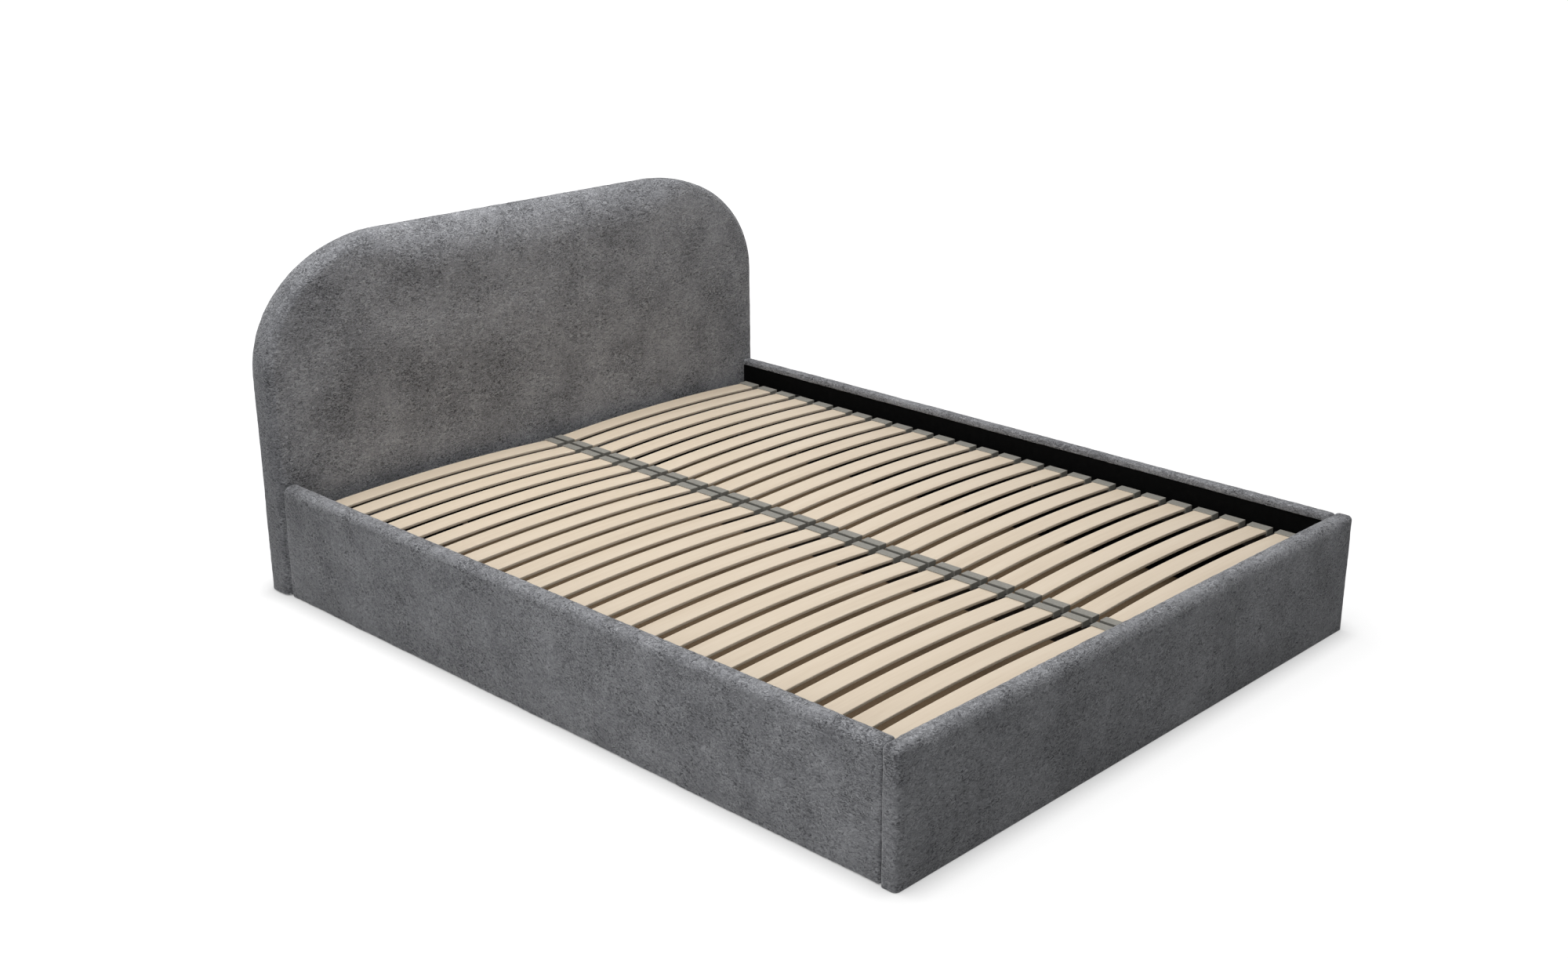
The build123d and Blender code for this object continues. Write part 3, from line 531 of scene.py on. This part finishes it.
def rail_padding(name, node, board, toward, seed):
    """A rail's padding: a hooked profile carried along the rail, drawn in at its two ends.

    The profile runs up the padded outer face, over the rounded top, down the inner lip and back round the
    board. Within RAIL_END_ROUND of an end, the outer points sink along a quarter circle. The outer face
    swells as the solver says.
    """
    low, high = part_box(node)
    board_low, board_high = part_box(board)
    out = high[0] if toward > 0 else -low[0]
    lip = low[0] if toward > 0 else -high[0]
    wall_in = board_low[0] if toward > 0 else -board_high[0]
    wall_out = board_high[0] if toward > 0 else -board_low[0]
    bottom, top = PANEL_HANG, high[2]
    wall_top = board_high[2]
    foot = arc(-90, 0, RAIL_BOTTOM_POINTS)
    over = arc(0, 90, RAIL_TOP_POINTS)
    hook = arc(90, 180, RAIL_HOOK_POINTS)
    face_count = steps(top - bottom, PANEL_STEP)
    face_z = np.linspace(bottom + RAIL_BOTTOM_ROUND, top - RAIL_TOP_ROUND, face_count)[1:-1]
    top_x = np.linspace(out - RAIL_TOP_ROUND, lip + RAIL_INNER_ROUND, RAIL_FLAT_POINTS)[1:-1]
    lip_z = np.linspace(top - RAIL_INNER_ROUND, top - LIP_DEPTH, RAIL_LIP_POINTS)[1:]
    hidden_x = [wall_in, wall_in, wall_out, wall_out]
    hidden_z = [top - LIP_DEPTH, wall_top, wall_top, bottom]
    x = np.concatenate([
        out - RAIL_BOTTOM_ROUND * (1 - np.cos(foot)), np.full(len(face_z), out),
        out - RAIL_TOP_ROUND * (1 - np.cos(over)), top_x,
        lip + RAIL_INNER_ROUND * (1 + np.cos(hook)), np.full(len(lip_z), lip), hidden_x,
    ])
    z = np.concatenate([
        bottom + RAIL_BOTTOM_ROUND * (1 + np.sin(foot)), face_z,
        top - RAIL_TOP_ROUND * (1 - np.sin(over)), np.full(len(top_x), top),
        top - RAIL_INNER_ROUND * (1 - np.sin(hook)), lip_z, hidden_z,
    ])
    drawn = len(x) - len(hidden_x) - len(lip_z)
    along = np.stack([np.gradient(x), np.gradient(z)])
    along /= np.hypot(*along)
    sink = np.where(np.arange(len(x)) < drawn, 1.0, 0.0)

    y = np.linspace(low[1] + RAIL_END_GAP, high[1] - RAIL_END_GAP, steps(high[1] - low[1], PANEL_STEP))
    ends = RAIL_END_ROUND * np.array(RAIL_END_SHARES)
    y = np.concatenate([y[:1], y[0] + ends, y[1:-1], y[-1] - ends[::-1], y[-1:]])
    near = np.minimum(y - y[0], y[-1] - y)
    reach = np.clip(1.0 - near / RAIL_END_ROUND, 0.0, 1.0)
    draw = RAIL_END_ROUND * (1.0 - np.sqrt(1.0 - reach ** 2))
    points = np.empty((len(y), len(x), 3))
    points[..., 0] = x - along[1] * sink * draw[:, None]
    points[..., 1] = y[:, None]
    points[..., 2] = z + along[0] * sink * draw[:, None]
    half = (y[-1] - y[0]) / 2
    swell = blown_cloth(face_z, np.full(len(face_z), half), (y - y[0]) / half - 1.0, PANEL_SHEET_STEP, seed)
    points[:, len(foot):len(foot) + len(face_z), 0] += capped(swell, RAIL_CROWN).T
    points[..., 0] *= toward

    ring = len(x)
    numbers = np.arange(len(y) * ring).reshape(len(y), ring)
    closed = np.hstack([numbers, numbers[:, :1]])
    faces = []
    for one, other in zip(closed[:-1], closed[1:]):
        faces += quads_between(one, other).tolist()
    faces.append(numbers[0, ::-1].tolist())
    faces.append(numbers[-1].tolist())
    if toward > 0:
        faces = [face[::-1] for face in faces]
    return new_piece(name, points.reshape(-1, 3), faces)


def back_cloth():
    """The dust cloth on the headboard's back: one sheet, its edge pressed down and its field a little slack.

    Rows run across the cloth, each as long as its outline leaves at that height. The sheet stands off the
    padding by CLOTH_LIFT, falls to its own plane along its outline, and sags by a slow noise.
    """
    low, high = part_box("headboard_back_cloth")
    margin = HEAD_CORNER_WIDTH - (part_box("headboard_cover")[1][0] - high[0])
    shoulder = HEAD_CORNER_HEIGHT - (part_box("headboard_cover")[1][2] - high[2])
    edge_x, edge_z, _, _, _ = panel_rim(high[0], high[2], low[2], (margin, shoulder), CLOTH_STEP)
    across = np.linspace(-1.0, 1.0, steps(2 * high[0], CLOTH_STEP))
    points = np.empty((len(edge_z), len(across), 3))
    points[..., 0] = -edge_x[:, None] * across
    points[..., 2] = edge_z[:, None]
    curved = edge_x > edge_x[0] + SAME_PLACE
    to_side = -edge_x[:, None] * (1.0 - np.abs(across))
    to_top = np.interp(np.abs(points[..., 0]), -edge_x[curved][::-1], edge_z[curved][::-1]) - edge_z[:, None]
    to_bottom = edge_z[:, None] - edge_z[0]
    inward = np.minimum(np.minimum(to_side, np.maximum(to_top, 0.0)), to_bottom)
    points[..., 1] = high[1] - HEAD_BACK_SET - CLOTH_TUCK
    points[..., 1] += (CLOTH_LIFT + CLOTH_TUCK) * smooth(inward / CLOTH_HEM)
    flat = points.reshape(-1, 3)
    slack = lattice_noise(flat, CLOTH_SLACK_SIZE, CLOTH_SLACK_SEED)
    flat[:, 1] -= CLOTH_SLACK * (1.0 + slack) * smooth(inward.ravel() / CLOTH_SLACK_REACH)
    return new_piece("dust_cloth", flat, grid_quads(*points.shape[:2])[:, ::-1].tolist())


# Slats

def slat_bank(name, node):
    """A bank of sprung slats: a section with round edges carried along an arc, once for each slat.

    The arc's rise over its chord gives its radius, (chord^2 / 4 + rise^2) / (2 rise).
    """
    low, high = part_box(node)
    centres = np.linspace(low[1] + SLAT_WIDTH / 2, high[1] - SLAT_WIDTH / 2, SLATS_PER_BANK)
    chord = high[0] - low[0]
    climb = high[2] - low[2] - SLAT_THICK
    radius = (chord ** 2 / 4 + climb ** 2) / (2 * climb)
    x = np.linspace(low[0], high[0], SLAT_STATIONS)
    z = low[2] + np.sqrt(radius ** 2 - (x - (low[0] + high[0]) / 2) ** 2) - (radius - climb)
    turn = arc(0, 90, SLAT_EDGE_POINTS)
    across = SLAT_WIDTH / 2 - SLAT_EDGE * (1 - np.cos(turn))
    above = SLAT_THICK - SLAT_EDGE * (1 - np.sin(turn))
    below = SLAT_EDGE * (1 - np.sin(turn))
    section_y = np.concatenate([across, -across[::-1], -across, across[::-1]])
    section_z = np.concatenate([above, above[::-1], below, below[::-1]])
    ring = len(section_y)
    points = np.empty((len(centres), len(x), ring, 3))
    points[..., 0] = x[:, None]
    points[..., 1] = centres[:, None, None] + section_y
    points[..., 2] = z[:, None] + section_z
    numbers = np.arange(points.size // 3).reshape(len(centres), len(x), ring)
    after = np.roll(numbers, -1, axis=2)
    quads = np.stack([numbers[:, :-1], after[:, :-1], after[:, 1:], numbers[:, 1:]], -1).reshape(-1, 4)
    ends = numbers[:, 0, ::-1].tolist() + numbers[:, -1].tolist()
    return new_piece(name, points.reshape(-1, 3), quads.tolist() + ends)


# Materials

def material(name):
    """A new node material: its nodes, links and shader."""
    finish = bpy.data.materials.new(name)
    finish.use_nodes = True
    nodes = finish.node_tree.nodes
    return finish, nodes, finish.node_tree.links, nodes["Principled BSDF"]


def object_place(nodes, links, scale=(1, 1, 1)):
    """Object coordinates, stretched by scale."""
    place = nodes.new("ShaderNodeTexCoord")
    turn = nodes.new("ShaderNodeMapping")
    turn.inputs["Scale"].default_value = scale
    links.new(place.outputs["Object"], turn.inputs["Vector"])
    return turn.outputs["Vector"]


def noise(nodes, links, place, scale, detail, rough=0.55, twist=0.0):
    """A noise value from 0 to 1, its cells twisted into curls."""
    node = nodes.new("ShaderNodeTexNoise")
    node.inputs["Scale"].default_value = scale
    node.inputs["Detail"].default_value = detail
    node.inputs["Roughness"].default_value = rough
    node.inputs["Distortion"].default_value = twist
    links.new(place, node.inputs["Vector"])
    return node.outputs["Fac"]


def math_node(nodes, links, operation, *values):
    """One step of arithmetic on values that are each a socket or a number."""
    node = nodes.new("ShaderNodeMath")
    node.operation = operation
    for socket, value in zip(node.inputs, values):
        if isinstance(value, (int, float)):
            socket.default_value = value
        else:
            links.new(value, socket)
    return node.outputs[0]


def ramp(nodes, links, factor, stops):
    """A colour ramp: stops are (place, grey or colour)."""
    node = nodes.new("ShaderNodeValToRGB")
    band = node.color_ramp
    while len(band.elements) < len(stops):
        band.elements.new(0.5)
    for element, (place, colour) in zip(band.elements, stops):
        element.position = place
        element.color = (*colour, 1.0)
    links.new(factor, node.inputs["Fac"])
    return node.outputs["Color"]


def bump(nodes, links, shader, height, strength, distance):
    """Relief on the shader from a height value."""
    node = nodes.new("ShaderNodeBump")
    node.inputs["Strength"].default_value = strength
    node.inputs["Distance"].default_value = distance
    links.new(height, node.inputs["Height"])
    links.new(node.outputs["Normal"], shader.inputs["Normal"])


def grey(value):
    """A plain grey."""
    return (value, value, value)


def grey_plush():
    """Short-nap plush: broad brushed patches, and curls of pile that stand out more in some places."""
    finish, nodes, links, shader = material("grey_plush")
    place = object_place(nodes, links)
    patches = noise(nodes, links, place, PLUSH_PATCHES, 4.0, 0.65)
    stand = noise(nodes, links, place, PLUSH_STANDS, 3.0, 0.6)
    curls = noise(nodes, links, object_place(nodes, links, PLUSH_CURL_STRETCH), PLUSH_CURLS, 2.0, 0.65, 1.5)
    stand = math_node(nodes, links, "MULTIPLY_ADD", stand, PLUSH_STAND_RANGE, PLUSH_STAND_LEAST)
    pile = math_node(nodes, links, "MULTIPLY", math_node(nodes, links, "SUBTRACT", curls, 0.5), stand)
    tone = math_node(nodes, links, "MULTIPLY_ADD", pile, PLUSH_CONTRAST, patches)
    links.new(ramp(nodes, links, tone, PLUSH_STOPS), shader.inputs["Base Color"])
    shader.inputs["Roughness"].default_value = 0.95
    shader.inputs["Specular IOR Level"].default_value = 0.1
    shader.inputs["Sheen Weight"].default_value = 1.0
    shader.inputs["Sheen Roughness"].default_value = 0.22
    shader.inputs["Sheen Tint"].default_value = PLUSH_SHEEN
    bump(nodes, links, shader, pile, 0.75, 0.005)
    return finish


def slat_wood():
    """Pale birch: grain along the slat, a tint of its own for each slat, and layered edges painted paler than
    the top as a highlight.
    """
    finish, nodes, links, shader = material("slat_wood")
    grain = noise(nodes, links, object_place(nodes, links, SLAT_GRAIN), 1.0, 5.0, 0.6)
    fine = noise(nodes, links, object_place(nodes, links, SLAT_FINE_GRAIN), 1.0, 2.0)
    each = noise(nodes, links, object_place(nodes, links, SLAT_TINT), 1.0, 0.0)
    mix = math_node(nodes, links, "MULTIPLY", fine, SLAT_FINE_SHARE)
    mix = math_node(nodes, links, "MULTIPLY_ADD", grain, SLAT_GRAIN_SHARE, mix)
    mix = math_node(nodes, links, "MULTIPLY_ADD", each, SLAT_TINT_SHARE, mix)
    face = ramp(nodes, links, mix, SLAT_FACE_STOPS)
    layers = noise(nodes, links, object_place(nodes, links, SLAT_LAYERS), 1.0, 1.0)
    edge = ramp(nodes, links, layers, SLAT_SIDE_PAINTED_LIGHT_STOPS)
    # Side faces, found by their normal, take the paler ramp: a painted highlight on the slats' shaded sides.
    turned = nodes.new("ShaderNodeTexCoord")
    parts = nodes.new("ShaderNodeSeparateXYZ")
    links.new(turned.outputs["Normal"], parts.inputs[0])
    upright = math_node(nodes, links, "ABSOLUTE", parts.outputs["Z"])
    side = math_node(nodes, links, "LESS_THAN", upright, SLAT_PAINTED_SIDE_FACING)
    both = nodes.new("ShaderNodeMix")
    both.data_type = "RGBA"
    links.new(side, both.inputs["Factor"])
    links.new(face, both.inputs["A"])
    links.new(edge, both.inputs["B"])
    links.new(both.outputs["Result"], shader.inputs["Base Color"])
    shader.inputs["Roughness"].default_value = 0.5
    shader.inputs["Specular IOR Level"].default_value = 0.3
    bump(nodes, links, shader, mix, 0.15, 0.0005)
    return finish


def plain_finish(name, low, high, rough, scale, relief, metal, shine):
    """A finish of one colour, mottled between low and high, with a fine relief of the same grain."""
    finish, nodes, links, shader = material(name)
    grain = noise(nodes, links, object_place(nodes, links), scale, 4.0)
    links.new(ramp(nodes, links, grain, ((0.3, low), (0.7, high))), shader.inputs["Base Color"])
    shader.inputs["Roughness"].default_value = rough
    shader.inputs["Metallic"].default_value = metal
    shader.inputs["Specular IOR Level"].default_value = shine
    bump(nodes, links, shader, grain, relief, 0.0005)
    return finish


# Each plain finish: low and high colour, roughness, grain per metre, relief, metal and shine
PLAIN_FINISHES = {
    "black_board": (grey(0.0022), grey(0.004), 0.9, 60.0, 0.1, 0.0, 0.05),
    "dust_cloth": (grey(0.016), grey(0.045), 0.95, 260.0, 0.8, 0.0, 0.5),
    "foam": ((0.62, 0.55, 0.36), (0.75, 0.68, 0.47), 0.9, 300.0, 0.5, 0.0, 0.5),
    "pine": ((0.55, 0.38, 0.2), (0.7, 0.52, 0.31), 0.6, 12.0, 0.2, 0.0, 0.5),
    "hardboard": ((0.25, 0.165, 0.090), (0.33, 0.230, 0.135), 0.7, 150.0, 0.2, 0.0, 0.5),
    "black_plastic": (grey(0.012), grey(0.02), 0.5, 200.0, 0.1, 0.0, 0.5),
    "zinc_steel": (grey(0.5), grey(0.62), 0.35, 90.0, 0.05, 1.0, 0.5),
    "black_steel": (grey(0.010), grey(0.016), 0.45, 350.0, 0.2, 0.0, 0.5),
    "chromed_rod": (grey(0.68), grey(0.74), 0.12, 60.0, 0.02, 1.0, 0.5),
    "grey_plastic": ((0.215, 0.208, 0.185), (0.275, 0.265, 0.237), 0.6, 220.0, 0.15, 0.0, 0.3),
}
FINISHES = {"grey_plush": grey_plush(), "slat_wood": slat_wood()}
for name, look in PLAIN_FINISHES.items():
    FINISHES[name] = plain_finish(name, *look)


# Dress the solids and the new pieces

SLOT_OF = {row["node"]: row["material_slot"] for row in frame["record"]["subparts"]}
for node, solid in frame["nodes"].items():
    solid.data.materials.clear()
    solid.data.materials.append(FINISHES[SLOT_OF[node]])

PADDING = [
    (headboard_padding(), ["headboard_cover", "headboard_foam"], HEAD_SWELL_SEED),
    (foot_padding(), ["foot_cover"], FOOT_SWELL_SEED),
    (rail_padding("left_rail_padding", "left_rail_cover", "left_rail_board", -1, LEFT_SHEET_SEED),
     ["left_rail_cover"], LEFT_SWELL_SEED),
    (rail_padding("right_rail_padding", "right_rail_cover", "right_rail_board", 1, RIGHT_SHEET_SEED),
     ["right_rail_cover"], RIGHT_SWELL_SEED),
]
for piece, nodes, seed in PADDING:
    swell_cloth(piece, seed)
    piece.data.materials.append(FINISHES["grey_plush"])
    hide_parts(*nodes)
    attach(piece, "bed_box")

SLAT_BANKS = [
    (slat_bank("left_slat_bank", "left_slats"), "left_slats"),
    (slat_bank("right_slat_bank", "right_slats"), "right_slats"),
]
for piece, node in SLAT_BANKS:
    piece.data.materials.append(FINISHES["slat_wood"])
    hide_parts(node)
    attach(piece, "slat_base")

cloth = back_cloth()
cloth.data.materials.append(FINISHES["dust_cloth"])
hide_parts("headboard_back_cloth")
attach(cloth, "bed_box")


# Floor, light and camera

def pale_floor():
    """A white floor that takes the bed's soft shadow and is lifted to white, less close to the bed, and cut by
    a painted contact shadow.
    """
    corners = FLOOR_HALF * np.array([[-1, -1, 0], [1, -1, 0], [1, 1, 0], [-1, 1, 0]])
    floor = new_piece("floor", corners, [[0, 1, 2, 3]])
    finish, nodes, links, shader = material("pale_floor")
    shader.inputs["Base Color"].default_value = (*grey(FLOOR_COLOUR), 1.0)
    shader.inputs["Roughness"].default_value = 1.0
    shader.inputs["Specular IOR Level"].default_value = 0.0
    shader.inputs["Emission Color"].default_value = (1.0, 1.0, 1.0, 1.0)
    away = nodes.new("ShaderNodeVectorMath")
    away.operation = "LENGTH"
    links.new(object_place(nodes, links), away.inputs[0])
    lift = nodes.new("ShaderNodeMapRange")
    for socket, value in (("From Min", FLOOR_NEAR), ("From Max", FLOOR_FAR),
                          ("To Min", FLOOR_LIFT), ("To Max", 1.0)):
        lift.inputs[socket].default_value = value
    links.new(away.outputs["Value"], lift.inputs["Value"])
    # Ambient occlusion cuts the lift near the bed: a painted contact shadow in the floor's glow.
    near = nodes.new("ShaderNodeAmbientOcclusion")
    near.inputs["Distance"].default_value = FLOOR_PAINTED_SHADE_REACH
    painted_shade_share = math_node(nodes, links, "MULTIPLY_ADD", near.outputs["AO"], FLOOR_PAINTED_SHADE, 1.0 - FLOOR_PAINTED_SHADE)
    strength = math_node(nodes, links, "MULTIPLY", lift.outputs["Result"], painted_shade_share)
    links.new(background_rays(nodes, links, strength), shader.inputs["Emission Strength"])
    floor.data.materials.append(finish)


def background_rays(nodes, links, strength):
    """The given strength for camera, glossy and transmission rays, and none for the rest."""
    path = nodes.new("ShaderNodeLightPath")
    rays = math_node(nodes, links, "MAXIMUM", path.outputs["Is Camera Ray"], path.outputs["Is Glossy Ray"])
    rays = math_node(nodes, links, "MAXIMUM", rays, path.outputs["Is Transmission Ray"])
    return math_node(nodes, links, "MULTIPLY", rays, strength)


def pale_world():
    """Even light from all round, seen as white."""
    world = bpy.data.worlds.new("pale_world")
    bpy.context.scene.world = world
    world.use_nodes = True
    nodes = world.node_tree.nodes
    links = world.node_tree.links
    seen = background_rays(nodes, links, 1.0 - WORLD_LIGHT)
    links.new(math_node(nodes, links, "ADD", seen, WORLD_LIGHT), nodes["Background"].inputs["Strength"])
    nodes["Background"].inputs["Color"].default_value = (1.0, 1.0, 1.0, 1.0)


def soft_lamp(name, place, aim, size, power, spread):
    """A square soft box at a place, turned towards a point, its beam spread over so many degrees."""
    data = bpy.data.lights.new(name, "AREA")
    data.size = size
    data.energy = power
    data.spread = math.radians(spread)
    lamp = bpy.data.objects.new(name, data)
    bpy.context.scene.collection.objects.link(lamp)
    lamp.location = place
    line = np.array(aim) - np.array(place)
    lamp.rotation_euler = (
        math.atan2(math.hypot(line[0], line[1]), -line[2]), 0.0, math.atan2(line[0], -line[1]) + math.pi,
    )


def photo_camera():
    """The camera at the photograph's place, heading, dip and roll."""
    data = bpy.data.cameras.new("camera")
    data.lens = LENS_MM
    data.sensor_width = SENSOR_MM
    data.sensor_fit = "HORIZONTAL"
    data.clip_end = VIEW_REACH
    camera = bpy.data.objects.new("camera", data)
    bpy.context.scene.collection.objects.link(camera)
    camera.location = CAMERA_PLACE
    turn = Matrix.Rotation(math.radians(-CAMERA_HEADING), 3, "Z")
    turn = turn @ Matrix.Rotation(math.radians(90.0 - CAMERA_DIP), 3, "X")
    turn = turn @ Matrix.Rotation(math.radians(CAMERA_ROLL), 3, "Z")
    camera.rotation_euler = turn.to_euler()
    bpy.context.scene.camera = camera


pale_floor()
pale_world()
for lamp in LAMPS:
    soft_lamp(*lamp)
photo_camera()
bpy.context.scene.view_settings.view_transform = "Standard"
